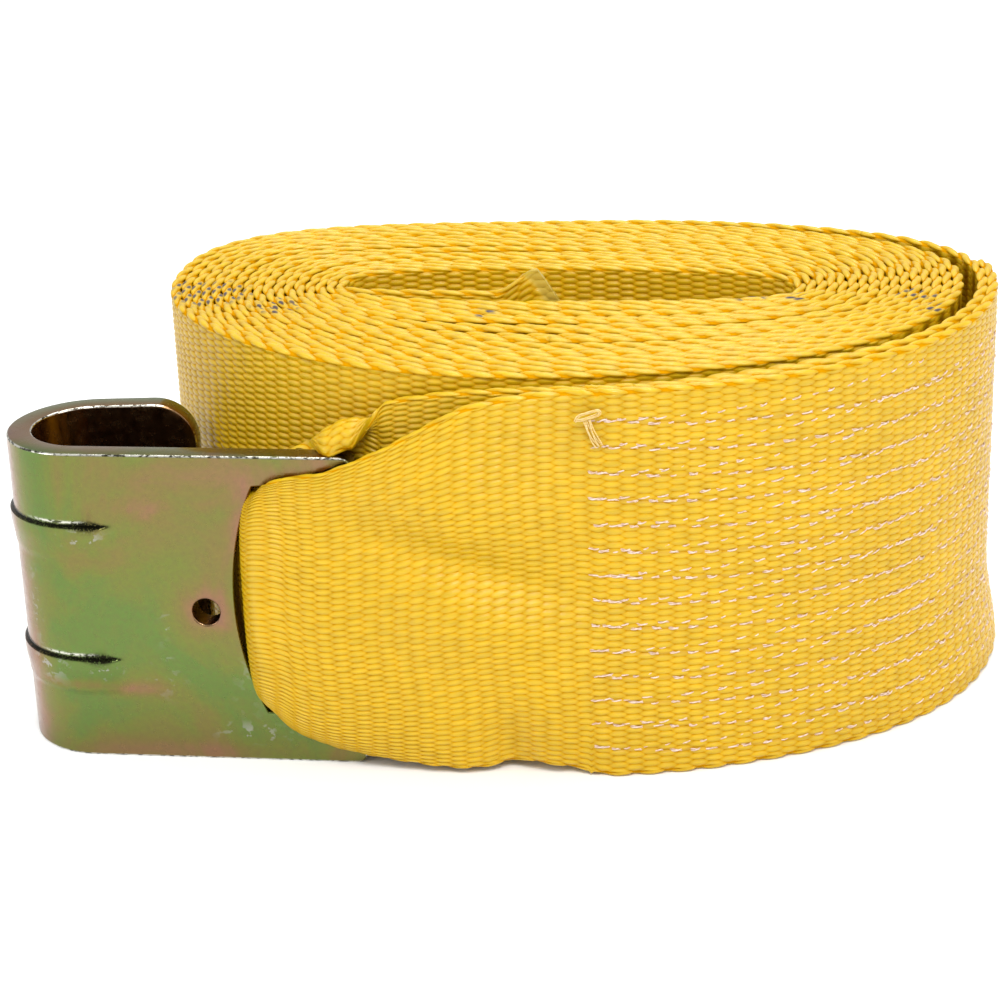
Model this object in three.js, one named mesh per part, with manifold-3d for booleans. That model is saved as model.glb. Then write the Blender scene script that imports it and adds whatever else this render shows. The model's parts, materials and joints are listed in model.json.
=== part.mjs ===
// A 4 inch cargo winch strap with a flat hook, rolled up for storage.
//
// The webbing is one long strap wound clockwise, seen from above, from its free end in the
// middle to the outside. Its outer end runs through the slot of the flat hook, round the bar
// and back on itself, and is sewn down: that is the loop and the lap of the seam.
// Each turn of the webbing is its own closed ribbon, so the roll stays a real spiral.
//
// Millimetres. +Z is up the width of the webbing, +X runs along the roll away from the hook,
// and the lap and the hook lie on the -Y side. The roll stands on z = 0.

import * as THREE from 'three';
import { mergeVertices } from 'three/addons/utils/BufferGeometryUtils.js';
import Module from 'manifold-3d';

const wasm = await Module();
wasm.setup();

// ---- Webbing ----
const WEB_WIDTH = 101.6;
const WEB_THICK = 2.2;
const GAP = 0.3;

// ---- Roll: an oval spiral, counted in turns outwards from the free end ----
const FIRST_FOLD = 0.25;
const FREE_END_STEPS = 14;
const FULL_TURNS = 16;
const STEPS_PER_TURN = 36;
const ROLL_CENTRE_X = 8;
const CENTRE_Y = { start: 86.0, perTurn: 0.55 };
const REACH_LEFT = { start: 60.3, perTurn: 2.87 };
const REACH_RIGHT = { start: 59.4, perTurn: 2.72 };
const REACH_FRONT = { start: 11.75, perTurn: 4.25 };
const REACH_BACK = { start: 17.2, perTurn: 2.27 };
const SQUARE_FRONT = { start: 2.5, end: 2.0 };
const SQUARE_BACK_LEFT = { start: 3.2, end: 2.8 };
const SQUARE_BACK_RIGHT = { start: 3.2, end: 2.4 };

// ---- Lap and seam: the outer end, lifted clear of the roll and doubled ----
const LIFT = { from: 16.38, full: 16.7, amount: 3.5, more: 1.2 };
const LAP_TAIL = 16.712;
const LAP_START = 16.979;
const LAP_STEPS = 22;
const LAST_TURN_STEPS = 18;
const SEAM_ROWS = 14;
const SEAM_TOP = 94.6;
const SEAM_PITCH = 6.66;
const THREAD = 0.9;
const THREAD_OUT = 0.5;
const SEAM_CUTTER = 200;
const SEAM_CUTTER_PAST_TAIL = 20;
const TAIL_STEPS = 10;
const TAIL_SIDES = 6;

// ---- Flat hook: one bent plate ----
const HOOK_WIDTH = 82.5;
const PLATE = 6.35;
const FRONT_FACE_Y = 7.6;
const HOOK_END_X = -37;
const BEND_X = -108;
const BEND_RADIUS = 20.75;
const BACK_LEG_FLARE = THREE.MathUtils.degToRad(6);
const BACK_LEG_LENGTH = 24.6;
const BAR_LEFT_X = -58;
const SLOT_LEFT_X = -68.6;
const SLOT_LOW_Z = 13.6;
const SLOT_HIGH_Z = 74.6;
const HOLE = { x: -76, z: 40.9, radius: 3.5 };
const CORNER_FRONT = 3;
const CORNER_BACK = 11;
const RIB_HEIGHT = 9.6;
const RIB_OUT = 0.8;
const RIB_LEVELS = [17.8, 54.0];
const RIB_END_X = -101;
const SLOT_END_FLAT = 4;
const BEND_STEPS = 18;

// ---- Loop round the bar ----
const EYE_X = -57;
const EYE_Y = FRONT_FACE_Y + PLATE / 2;
const EYE_RADIUS = 5.8;
const EYE_LOW_Z = 22;
const EYE_HIGH_Z = 66;
const EYE_STEPS = 12;
const PLY_STEPS = 16;
const SEAM_EDGE_X = 22;

// ---- Shift from the drawing's origin to the middle of the box, on the floor ----
const SHIFT_X = 4.285;
const SHIFT_Y = -76.27;

const YELLOW = 0xf2b705;
const THREAD_COLOUR = 0xf3ead2;
const ZINC = 0xa79a68;

const group = new THREE.Group();

function material(colour, roughness, metalness) {
  return new THREE.MeshStandardMaterial({ color: colour, roughness, metalness });
}

const webbingMaterial = () => material(YELLOW, 0.6, 0);
const threadMaterial = () => material(THREAD_COLOUR, 0.4, 0);
const zincMaterial = () => material(ZINC, 0.35, 0.9);

function addPart(name, geometry, surface) {
  const mesh = new THREE.Mesh(geometry, surface);
  mesh.name = name;
  group.add(mesh);
}

// ---- Solids ----

function toManifold(geometry) {
  const bare = geometry.clone();
  bare.deleteAttribute('normal');
  bare.deleteAttribute('uv');
  const merged = mergeVertices(bare, 1e-4);
  return new wasm.Manifold(new wasm.Mesh({
    numProp: 3,
    vertProperties: new Float32Array(merged.attributes.position.array),
    triVerts: new Uint32Array(merged.index.array),
  }));
}

function fromManifold(solid) {
  const mesh = solid.getMesh();
  const geometry = new THREE.BufferGeometry();
  geometry.setAttribute('position', new THREE.BufferAttribute(mesh.vertProperties, 3));
  geometry.setIndex(new THREE.BufferAttribute(mesh.triVerts, 1));
  geometry.computeVertexNormals();
  return geometry;
}

// A plan outline raised from one level to another.
function prism(outline, low, high) {
  const shape = new THREE.Shape(outline);
  const geometry = new THREE.ExtrudeGeometry(shape, { depth: high - low, bevelEnabled: false });
  geometry.translate(0, 0, low);
  return geometry;
}

// A side-view shape (x, z) pushed through the part along Y.
function sideCutter(shape, nearY, farY) {
  const geometry = new THREE.ExtrudeGeometry(shape, {
    depth: farY - nearY,
    bevelEnabled: false,
    curveSegments: 12,
  });
  geometry.rotateX(Math.PI / 2);
  geometry.translate(0, farY, 0);
  return toManifold(geometry);
}

// ---- Ribbons along a plan line ----

function sideNormals(points) {
  return points.map((point, i) => {
    const before = points[Math.max(i - 1, 0)];
    const after = points[Math.min(i + 1, points.length - 1)];
    const along = after.clone().sub(before).normalize();
    return new THREE.Vector2(-along.y, along.x);
  });
}

function offsetLine(points, distance) {
  const normals = sideNormals(points);
  return points.map((point, i) => point.clone().addScaledVector(normals[i], distance));
}

// Closed outline of a ribbon between two offsets of its centre line.
function ribbonOutline(points, from, to) {
  return [...offsetLine(points, from), ...offsetLine(points, to).reverse()];
}

function ribbon(points, thickness) {
  const outline = ribbonOutline(points, -thickness / 2, thickness / 2);
  return prism(outline, 0, WEB_WIDTH);
}

// ---- The spiral ----

const at = (law, turn) => law.start + law.perTurn * turn;

function squareness(law, turn) {
  return law.start + (law.end - law.start) * turn / FULL_TURNS;
}

// How far the last part of the strap stands off the roll.
function lift(turn) {
  const rise = THREE.MathUtils.smoothstep(turn, LIFT.from, LIFT.full);
  const rest = THREE.MathUtils.smoothstep(turn, LIFT.full, LAP_START);
  return LIFT.amount * rise + LIFT.more * rest;
}

// Centre line of the webbing after a number of turns from the free end.
function spiralPoint(turn) {
  const angle = 2 * Math.PI * (0.75 - turn);
  const cx = Math.cos(angle);
  const cy = Math.sin(angle);
  const reachX = at(cx > 0 ? REACH_RIGHT : REACH_LEFT, turn) + lift(turn);
  const reachY = at(cy > 0 ? REACH_BACK : REACH_FRONT, turn) + lift(turn);
  const backLaw = cx > 0 ? SQUARE_BACK_RIGHT : SQUARE_BACK_LEFT;
  const power = squareness(cy > 0 ? backLaw : SQUARE_FRONT, turn);
  const scale = (Math.abs(cx) ** power + Math.abs(cy) ** power) ** (-1 / power);
  return new THREE.Vector2(
    ROLL_CENTRE_X + reachX * cx * scale,
    at(CENTRE_Y, turn) + reachY * cy * scale,
  );
}

// The spiral between two counts of turns, short of each end by half the gap.
function spiralLine(from, to, steps) {
  const points = [];
  for (let i = 0; i <= steps; i += 1) {
    points.push(spiralPoint(from + (to - from) * i / steps));
  }
  shorten(points, 0, 1);
  shorten(points, steps, steps - 1);
  return points;
}

function shorten(points, end, next) {
  const inward = points[next].clone().sub(points[end]).normalize();
  points[end].addScaledVector(inward, GAP / 2);
}

function buildTurns() {
  for (let n = 0; n < FULL_TURNS; n += 1) {
    const start = FIRST_FOLD + n;
    const line = spiralLine(start, start + 1, STEPS_PER_TURN);
    const number = String(n + 1).padStart(2, '0');
    addPart(`webbing_turn_${number}`, ribbon(line, WEB_THICK), webbingMaterial());
  }
  const last = spiralLine(FIRST_FOLD + FULL_TURNS, LAP_TAIL, LAST_TURN_STEPS);
  addPart('webbing_turn_17', ribbon(last, WEB_THICK), webbingMaterial());
}

// The cut end of the strap, which lies free in the middle of the roll.
function buildFreeEnd() {
  const fold = spiralPoint(FIRST_FOLD);
  const curve = new THREE.CatmullRomCurve3([
    new THREE.Vector3(3.5, 79.0, 0),
    new THREE.Vector3(-8, 78.9, 0),
    new THREE.Vector3(-20, 79.0, 0),
    new THREE.Vector3(-34, 79.3, 0),
    new THREE.Vector3(-46, 80.6, 0),
    new THREE.Vector3(fold.x + 1.1, fold.y - 3.4, 0),
    new THREE.Vector3(fold.x + 0.1, fold.y - 1.4, 0),
    new THREE.Vector3(fold.x, fold.y - 2 * GAP, 0),
  ]);
  const points = curve.getPoints(FREE_END_STEPS).map((p) => new THREE.Vector2(p.x, p.y));
  addPart('webbing_free_end', ribbon(points, WEB_THICK), webbingMaterial());
}

// ---- The lap: two plies sewn together ----

function buildLap() {
  const inner = spiralLine(LAP_TAIL, LAP_START, LAP_STEPS);
  const outer = offsetLine(inner, WEB_THICK + GAP);
  addPart('lap_inner_ply', ribbon(inner, WEB_THICK), webbingMaterial());
  addPart('lap_outer_ply', ribbon(outer, WEB_THICK), webbingMaterial());
  return outer;
}

// One thread, sewn to and fro along the lap in level rows.
function buildSeam(outerPly) {
  const rowLine = outerPly.slice(1, -1);
  const near = WEB_THICK / 2 + GAP;
  const outline = ribbonOutline(rowLine, near, near + THREAD_OUT);
  const top = SEAM_TOP + THREAD / 2;
  const bottom = SEAM_TOP - (SEAM_ROWS - 1) * SEAM_PITCH - THREAD / 2;
  let seam = toManifold(prism(outline, bottom, top));
  const tail = rowLine[0];
  const start = rowLine[rowLine.length - 1];
  for (let row = 0; row < SEAM_ROWS - 1; row += 1) {
    const high = SEAM_TOP - row * SEAM_PITCH - THREAD / 2;
    const low = high - SEAM_PITCH + THREAD;
    const keepsTail = row % 2 === 0;
    const block = new THREE.BoxGeometry(SEAM_CUTTER, SEAM_CUTTER, high - low);
    const x = keepsTail
      ? tail.x - SEAM_CUTTER / 2 + SEAM_CUTTER_PAST_TAIL
      : start.x + THREAD + SEAM_CUTTER / 2;
    const y = keepsTail ? tail.y - THREAD - SEAM_CUTTER / 2 : tail.y;
    block.translate(x, y, (high + low) / 2);
    seam = seam.subtract(toManifold(block));
  }
  addPart('seam_stitching', fromManifold(seam), threadMaterial());
}

// The loose end of the sewing thread, curled on the webbing.
function buildThreadTail() {
  const curve = new THREE.CatmullRomCurve3([
    new THREE.Vector3(21.8, 2.9, 87.3),
    new THREE.Vector3(21.0, 2.6, 90.6),
    new THREE.Vector3(19.8, 2.3, 93.6),
    new THREE.Vector3(17.2, 1.7, 96.6),
    new THREE.Vector3(14.9, 1.6, 95.2),
  ]);
  const section = new THREE.Shape();
  section.absarc(0, 0, THREAD / 2, 0, 2 * Math.PI);
  const geometry = new THREE.ExtrudeGeometry(section, {
    steps: TAIL_STEPS,
    curveSegments: TAIL_SIDES,
    bevelEnabled: false,
    extrudePath: curve,
  });
  addPart('seam_thread_tail', geometry, threadMaterial());
}

// ---- The loop ----

// Side view of the loop: full width at the seam, drawn in to pass through the slot.
function loopSideShape() {
  const shape = new THREE.Shape();
  shape.moveTo(SEAM_EDGE_X + 5, 0);
  shape.lineTo(SEAM_EDGE_X, 0);
  shape.lineTo(-33, 3.4);
  shape.lineTo(-50, 10);
  shape.lineTo(EYE_X, EYE_LOW_Z);
  shape.lineTo(-80, EYE_LOW_Z);
  shape.lineTo(-80, EYE_HIGH_Z);
  shape.lineTo(EYE_X, EYE_HIGH_Z);
  shape.lineTo(-44, 80);
  shape.lineTo(-16, 96.4);
  shape.lineTo(SEAM_EDGE_X, WEB_WIDTH);
  shape.lineTo(SEAM_EDGE_X + 5, WEB_WIDTH);
  shape.closePath();
  return shape;
}

function loopPly(points, steps) {
  const curve = new THREE.CatmullRomCurve3(points.map(([x, y]) => new THREE.Vector3(x, y, 0)));
  const line = curve.getPoints(steps).map((p) => new THREE.Vector2(p.x, p.y));
  return toManifold(ribbon(line, WEB_THICK)).intersect(sideCutter(loopSideShape(), -40, 60));
}

function buildLoop(lapInnerY, lapOuterY) {
  const frontStart = [SEAM_EDGE_X - GAP, lapOuterY];
  const front = loopPly([
    frontStart,
    [6, 2.6],
    [-14, 1.6],
    [-34, 3.0],
    [-48, 4.3],
    [EYE_X + GAP, EYE_Y - EYE_RADIUS],
  ], PLY_STEPS);
  const rear = loopPly([
    [SEAM_EDGE_X - GAP, lapInnerY],
    [4, 9.3],
    [-18, 12.4],
    [-37, 16.6],
    [-48, 17.0],
    [EYE_X + GAP, EYE_Y + EYE_RADIUS],
  ], PLY_STEPS);
  const eyeLine = [];
  for (let i = 0; i <= EYE_STEPS; i += 1) {
    const angle = Math.PI / 2 + Math.PI * i / EYE_STEPS;
    eyeLine.push(new THREE.Vector2(
      EYE_X + EYE_RADIUS * Math.cos(angle),
      EYE_Y + EYE_RADIUS * Math.sin(angle),
    ));
  }
  const eye = toManifold(ribbon(eyeLine, WEB_THICK))
    .intersect(sideCutter(loopSideShape(), -40, 60));
  addPart('loop_front_ply', fromManifold(front), webbingMaterial());
  addPart('loop_rear_ply', fromManifold(rear), webbingMaterial());
  addPart('loop_eye', fromManifold(eye), webbingMaterial());
}

// ---- The flat hook ----

// Centre line of the bent plate, from the end of the front leg round to the back leg's end.
function plateLine() {
  const radius = BEND_RADIUS - PLATE / 2;
  const centreY = FRONT_FACE_Y + BEND_RADIUS;
  const points = [new THREE.Vector2(HOOK_END_X, centreY - radius)];
  for (let i = 0; i <= BEND_STEPS; i += 1) {
    const angle = -Math.PI / 2 - (Math.PI - BACK_LEG_FLARE) * i / BEND_STEPS;
    points.push(new THREE.Vector2(
      BEND_X + radius * Math.cos(angle),
      centreY + radius * Math.sin(angle),
    ));
  }
  const last = points[points.length - 1];
  points.push(new THREE.Vector2(
    last.x + BACK_LEG_LENGTH * Math.cos(BACK_LEG_FLARE),
    last.y + BACK_LEG_LENGTH * Math.sin(BACK_LEG_FLARE),
  ));
  return points;
}

// A D-shaped slot: straight against the bar, bowed on the side of the bend.
function slotShape() {
  const bow = BAR_LEFT_X - SLOT_LEFT_X;
  const half = (SLOT_HIGH_Z - SLOT_LOW_Z) / 2;
  const bowed = bow - SLOT_END_FLAT;
  const radius = (half ** 2 + bowed ** 2) / (2 * bowed);
  const centreX = SLOT_LEFT_X + radius;
  const centreZ = (SLOT_LOW_Z + SLOT_HIGH_Z) / 2;
  const spread = Math.asin(half / radius);
  const shape = new THREE.Shape();
  shape.moveTo(BAR_LEFT_X, SLOT_LOW_Z);
  shape.lineTo(BAR_LEFT_X, SLOT_HIGH_Z);
  shape.absarc(centreX, centreZ, radius, Math.PI - spread, Math.PI + spread, false);
  shape.closePath();
  return shape;
}

// Side view of one leg: a strip with its free end's corners rounded.
function legShape(endX, farX, radius) {
  const shape = new THREE.Shape();
  shape.moveTo(farX, 0);
  shape.lineTo(endX - radius, 0);
  shape.absarc(endX - radius, radius, radius, -Math.PI / 2, 0, false);
  shape.absarc(endX - radius, HOOK_WIDTH - radius, radius, 0, Math.PI / 2, false);
  shape.lineTo(farX, HOOK_WIDTH);
  shape.closePath();
  return shape;
}

// A raised bead round the bend, which stiffens it.
function rib(level, line) {
  const bend = line.slice(1, -1);
  const start = new THREE.Vector2(RIB_END_X, line[0].y);
  const outline = ribbonOutline([start, ...bend], 0, PLATE / 2 + RIB_OUT);
  return toManifold(prism(outline, level, level + RIB_HEIGHT));
}

function buildHook() {
  const line = plateLine();
  const plate = prism(ribbonOutline(line, PLATE / 2, -PLATE / 2), 0, HOOK_WIDTH);
  const middleY = FRONT_FACE_Y + BEND_RADIUS;
  const leftOfAll = BEND_X - BEND_RADIUS - 5;
  const backEndX = line[line.length - 1].x;
  const frontKeep = sideCutter(legShape(HOOK_END_X, leftOfAll, CORNER_FRONT), -5, middleY);
  const backKeep = sideCutter(legShape(backEndX + 2, leftOfAll, CORNER_BACK), middleY, 80);
  let hook = toManifold(plate).intersect(frontKeep.add(backKeep));
  for (const level of RIB_LEVELS) {
    hook = hook.add(rib(level, line));
  }
  const hole = new THREE.Shape();
  hole.absarc(HOLE.x, HOLE.z, HOLE.radius, 0, 2 * Math.PI, false);
  hook = hook.subtract(sideCutter(hole, 0, middleY));
  hook = hook.subtract(sideCutter(slotShape(), 0, middleY));
  addPart('flat_hook', fromManifold(hook), zincMaterial());
}

buildTurns();
buildFreeEnd();
const outerPly = buildLap();
buildSeam(outerPly);
buildThreadTail();
const seamEnd = outerPly[outerPly.length - 1];
buildLoop(seamEnd.y + WEB_THICK + GAP, seamEnd.y);
buildHook();

group.position.set(SHIFT_X, SHIFT_Y, 0);
group.updateMatrixWorld(true);

export default group;
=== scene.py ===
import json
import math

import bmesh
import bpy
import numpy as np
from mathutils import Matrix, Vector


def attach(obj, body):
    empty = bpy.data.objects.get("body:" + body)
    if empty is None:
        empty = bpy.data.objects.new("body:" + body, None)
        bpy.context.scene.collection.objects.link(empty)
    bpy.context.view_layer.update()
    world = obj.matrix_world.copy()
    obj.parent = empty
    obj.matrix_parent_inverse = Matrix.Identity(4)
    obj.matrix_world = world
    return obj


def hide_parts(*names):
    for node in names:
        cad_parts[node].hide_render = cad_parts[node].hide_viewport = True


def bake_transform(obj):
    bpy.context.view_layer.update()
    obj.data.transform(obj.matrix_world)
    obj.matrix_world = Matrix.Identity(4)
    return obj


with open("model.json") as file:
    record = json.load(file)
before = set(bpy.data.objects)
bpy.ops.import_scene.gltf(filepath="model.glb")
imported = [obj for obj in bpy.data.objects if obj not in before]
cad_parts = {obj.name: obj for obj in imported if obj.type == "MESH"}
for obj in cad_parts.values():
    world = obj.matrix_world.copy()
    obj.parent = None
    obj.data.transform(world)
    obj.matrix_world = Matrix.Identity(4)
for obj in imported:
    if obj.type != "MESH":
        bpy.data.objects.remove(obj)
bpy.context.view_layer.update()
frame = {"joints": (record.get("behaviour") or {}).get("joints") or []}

# A rolled-up 4 inch winch strap with a flat hook.
#
# The webbing is made as one long line of plan points, from the cut end in the middle of the
# roll to the cut end of the lap, and each piece of strap is a stretch of that line.
# Lengths here are millimetres in the drawing's own origin, and to_world turns them into the
# frame's metres.

# ---- Webbing, as in the CAD model ----
WEB_WIDTH = 101.6
WEB_THICK = 2.2
GAP = 0.3
FIRST_FOLD = 0.25
FULL_TURNS = 16
ROLL_CENTRE_X = 8
CENTRE_Y = (86.0, 0.55)
REACH_LEFT = (60.3, 2.87)
REACH_RIGHT = (59.4, 2.72)
REACH_FRONT = (11.75, 4.25)
REACH_BACK = (17.2, 2.27)
SQUARE_FRONT = (2.5, 2.0)
SQUARE_BACK_LEFT = (3.2, 2.8)
SQUARE_BACK_RIGHT = (3.2, 2.4)
LIFT_FROM, LIFT_FULL, LIFT_AMOUNT, LIFT_MORE = 16.38, 16.7, 3.5, 1.2
LAP_TAIL = 16.712
LAP_START = 16.979

# ---- Hook and loop, as in the CAD model ----
HOOK_WIDTH = 82.5
PLATE = 6.35
FRONT_FACE_Y = 7.6
HOOK_END_X = -37
BEND_X = -108
BEND_RADIUS = 20.75
BACK_LEG_FLARE = math.radians(6)
BACK_LEG_LENGTH = 24.6
BAR_LEFT_X = -58
SLOT_LEFT_X = -68.6
SLOT_LOW_Z = 13.6
SLOT_HIGH_Z = 74.6
HOLE_X, HOLE_Z, HOLE_RADIUS = -76, 40.9, 3.5
CORNER_FRONT = 3
CORNER_BACK = 11
RIB_HEIGHT = 9.6
RIB_LEVELS = (17.8, 54.0)
RIB_END_X = -101
PIVOT_X = -47.5
EYE_X = -57
EYE_Y = FRONT_FACE_Y + PLATE / 2
EYE_RADIUS = 5.8

# ---- Weave ----
COLUMN = 3.95
ROW = 1.75
FLOAT_LONG = 2.72
FLOAT_TALL = 0.98
FACE_RELIEF = 0.74
RIM_RELIEF = 0.80
RIM_ROUND = 1.1
RIM_WIDER = 1.34
RIM_WIDER_FRONT = 0.36
RIM_WIDER_LAST = 2.2
ROPE_LONG = 3.5
ROPE_WIDE = math.radians(50)
ROPE_SLANT = math.radians(8)
ROPE_MIDDLES = (math.radians(60), math.radians(120))

# ---- Frame ----
pivot = next(j for j in frame["joints"] if j["name"] == "hook_pivot")["pos_m"]
SHIFT = np.array([pivot[0] * 1000 - PIVOT_X, pivot[1] * 1000 - EYE_Y, 0.0])


def to_world(points):
    return (np.asarray(points, float) + SHIFT) * 0.001


def add_object(name, data):
    """A new object in the scene."""
    made = bpy.data.objects.new(name, data)
    bpy.context.scene.collection.objects.link(made)
    return made


# ---- Camera ----
CAMERA_PLACE = (75.14, -534.65, 290.3)
CAMERA_DOWN = math.radians(21.7)
CAMERA_TURN = math.radians(8)
CAMERA_ROLL = math.radians(2)
CAMERA_LENS = 88.2


def make_camera():
    data = bpy.data.cameras.new("camera")
    data.lens = CAMERA_LENS
    data.sensor_width = 36
    data.clip_start = 0.01
    camera = add_object("camera", data)
    down_cos, down_sin = math.cos(CAMERA_DOWN), math.sin(CAMERA_DOWN)
    turn_cos, turn_sin = math.cos(CAMERA_TURN), math.sin(CAMERA_TURN)
    level = Vector((turn_cos, turn_sin, 0))
    upward = Vector((-down_sin * turn_sin, down_sin * turn_cos, down_cos))
    forward = Vector((-down_cos * turn_sin, down_cos * turn_cos, -down_sin))
    right = level * math.cos(CAMERA_ROLL) - upward * math.sin(CAMERA_ROLL)
    up = level * math.sin(CAMERA_ROLL) + upward * math.cos(CAMERA_ROLL)
    turned = Matrix((right, up, -forward)).transposed().to_4x4()
    camera.matrix_world = Matrix.Translation(Vector(to_world(CAMERA_PLACE))) @ turned
    bpy.context.scene.camera = camera


make_camera()


# ---- Small helpers ----

def smoothstep(value, low, high):
    t = np.clip((np.asarray(value, float) - low) / (high - low), 0, 1)
    return t * t * (3 - 2 * t)


def through(points, per_span=40):
    """A smooth curve through points, as many dense points."""
    p = np.array(points, float)
    p = np.vstack([2 * p[0] - p[1], p, 2 * p[-1] - p[-2]])
    t = np.linspace(0, 1, per_span, endpoint=False)[:, None]
    spans = []
    for a, b, c, d in zip(p[:-3], p[1:-2], p[2:-1], p[3:]):
        cubic = (3 * b - a - 3 * c + d) * t ** 3
        square = (2 * a - 5 * b + 4 * c - d) * t ** 2
        spans.append(0.5 * (2 * b + (c - a) * t + square + cubic))
    return np.vstack(spans + [p[-2:-1]])


def table_curve(points):
    """A function that follows a short table of (x, value) smoothly."""
    dense = through(points)
    order = np.argsort(dense[:, 0])
    return lambda x: np.interp(x, dense[order, 0], dense[order, 1])


def bump_at(x, z, centre_x, centre_z, wide, tall, tilt=0.0):
    """A soft round rise at one place on a face, turned by tilt."""
    dx, dz = x - centre_x, z - centre_z
    along = dx * math.cos(tilt) + dz * math.sin(tilt)
    across = dz * math.cos(tilt) - dx * math.sin(tilt)
    return np.exp(-(along / wide) ** 2 - (across / tall) ** 2)


def set_attributes(mesh, attributes):
    """Numbers or vectors on a mesh's points, for its material to read."""
    for key, values in attributes.items():
        kind, field = ("FLOAT", "value") if values.ndim == 1 else ("FLOAT_VECTOR", "vector")
        layer = mesh.attributes.new(key, kind, "POINT")
        layer.data.foreach_set(field, values.astype(np.float32).ravel())


def mesh_object(name, vertices, faces, attributes=(), flat_faces=()):
    """A mesh in world metres from millimetre points, smooth but for flat_faces."""
    mesh = bpy.data.meshes.new(name)
    mesh.from_pydata(to_world(vertices).tolist(), [], faces)
    mesh.polygons.foreach_set("use_smooth", np.ones(len(mesh.polygons), bool))
    for index in flat_faces:
        mesh.polygons[index].use_smooth = False
    set_attributes(mesh, dict(attributes))
    mesh.update()
    return add_object(name, mesh)


# ---- The line of the strap, seen from above ----

def spiral(turn):
    """Plan places on the roll's middle line, counted in turns from its front."""
    turn = np.atleast_1d(np.asarray(turn, float))
    angle = 2 * np.pi * (0.75 - turn)
    cx, cy = np.cos(angle), np.sin(angle)
    rise = LIFT_AMOUNT * smoothstep(turn, LIFT_FROM, LIFT_FULL)
    rise = rise + LIFT_MORE * smoothstep(turn, LIFT_FULL, LAP_START)

    def law(values):
        return values[0] + values[1] * turn

    def square(values):
        return values[0] + (values[1] - values[0]) * turn / FULL_TURNS

    reach_x = np.where(cx > 0, law(REACH_RIGHT), law(REACH_LEFT)) + rise
    reach_y = np.where(cy > 0, law(REACH_BACK), law(REACH_FRONT)) + rise
    back = np.where(cx > 0, square(SQUARE_BACK_RIGHT), square(SQUARE_BACK_LEFT))
    power = np.where(cy > 0, back, square(SQUARE_FRONT))
    scale = (np.abs(cx) ** power + np.abs(cy) ** power) ** (-1 / power)
    x = ROLL_CENTRE_X + reach_x * cx * scale
    y = law(CENTRE_Y) + reach_y * cy * scale
    return np.column_stack([x, y])


def plan_normals(points):
    """The level direction square to a plan line at each of its points."""
    along = np.gradient(points, axis=0)
    along /= np.linalg.norm(along, axis=1)[:, None]
    return np.column_stack([-along[:, 1], along[:, 0]])


class StrapLine:
    """The whole strap's centre line, measured in millimetres from its inner cut end."""

    STEP = 0.25
    SMOOTHING = 9

    def __init__(self):
        fold = spiral(FIRST_FOLD)[0]
        free = through([
            (9.5, 78.6), (3.5, 79.0), (-8, 78.9), (-20, 79.0), (-34, 79.3), (-46, 80.6),
            (fold[0] + 1.1, fold[1] - 3.4), (fold[0], fold[1]),
        ])
        roll = spiral(np.linspace(FIRST_FOLD, LAP_START, 24000))
        lap = spiral(np.linspace(LAP_TAIL, LAP_START, 600))
        lap_outer = (lap + plan_normals(lap) * (WEB_THICK + GAP))[::-1]
        seam = lap[-1]
        rear = through([
            seam, (4, 9.3), (-18, 12.4), (-37, 16.6), (-48, 17.0), (EYE_X, EYE_Y + EYE_RADIUS),
        ])
        turn = np.linspace(math.pi / 2, 3 * math.pi / 2, 60)
        eye_x = EYE_X + EYE_RADIUS * np.cos(turn)
        eye = np.column_stack([eye_x, EYE_Y + EYE_RADIUS * np.sin(turn)])
        front = through([
            (EYE_X, EYE_Y - EYE_RADIUS), (-48, 4.3), (-34, 3.0), (-14, 1.6), (6, 2.6), lap_outer[0],
        ])
        self.points = self.even(np.vstack([
            free, roll[1:], rear[1:], eye[1:], front[1:], lap_outer[1:],
        ]))
        self.normals = plan_normals(self.points)
        self.length = self.STEP * (len(self.points) - 1)

    def even(self, points):
        """The same line with even steps and its corners eased."""
        for _ in range(2):
            gaps = np.linalg.norm(np.diff(points, axis=0), axis=1)
            run = np.concatenate([[0], np.cumsum(gaps)])
            keep = np.concatenate([[True], gaps > 1e-9])
            places = np.arange(0, run[-1], self.STEP)
            points = np.column_stack([
                np.interp(places, run[keep], points[keep, axis]) for axis in (0, 1)
            ])
            half = self.SMOOTHING // 2
            window = np.ones(self.SMOOTHING) / self.SMOOTHING
            eased = np.column_stack([
                np.convolve(points[:, axis], window, mode="valid") for axis in (0, 1)
            ])
            points = np.vstack([points[:half], eased, points[-half:]])
        return points

    def mark(self, place, after=0.0):
        """How far along the line it passes nearest to a place."""
        start = int(after / self.STEP)
        gaps = np.linalg.norm(self.points[start:] - np.asarray(place, float), axis=1)
        return (start + int(np.argmin(gaps))) * self.STEP

    def at(self, s):
        """Plan place and normal at distances along the line."""
        index = np.arange(len(self.points)) * self.STEP
        x, y = (np.interp(s, index, self.points[:, axis]) for axis in (0, 1))
        nx, ny = (np.interp(s, index, self.normals[:, axis]) for axis in (0, 1))
        return x, y, nx, ny


line = StrapLine()


def at_turn(turn):
    """How far along the strap a place on the roll is."""
    return line.mark(spiral(turn)[0])


# Where the strap's pieces meet, in millimetres along the line.
S_FOLD = at_turn(FIRST_FOLD)
S_TURN_1 = at_turn(1.27)
S_TURN_8 = at_turn(9.0)
S_TURN_12 = at_turn(12.9)
S_TURN_16 = at_turn(15.85)
S_OUTER_LEFT = at_turn(16.26)
S_OUTER_BACK = at_turn(16.62)
S_LAP_TAIL = at_turn(LAP_TAIL)
S_LOOP = at_turn(16.966)
S_REAR = at_turn(LAP_START)
S_EYE = line.mark((EYE_X - EYE_RADIUS, EYE_Y), S_REAR)
S_LAP = line.mark((23, 5.1), S_EYE)


# ---- The webbing's surface ----

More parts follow.
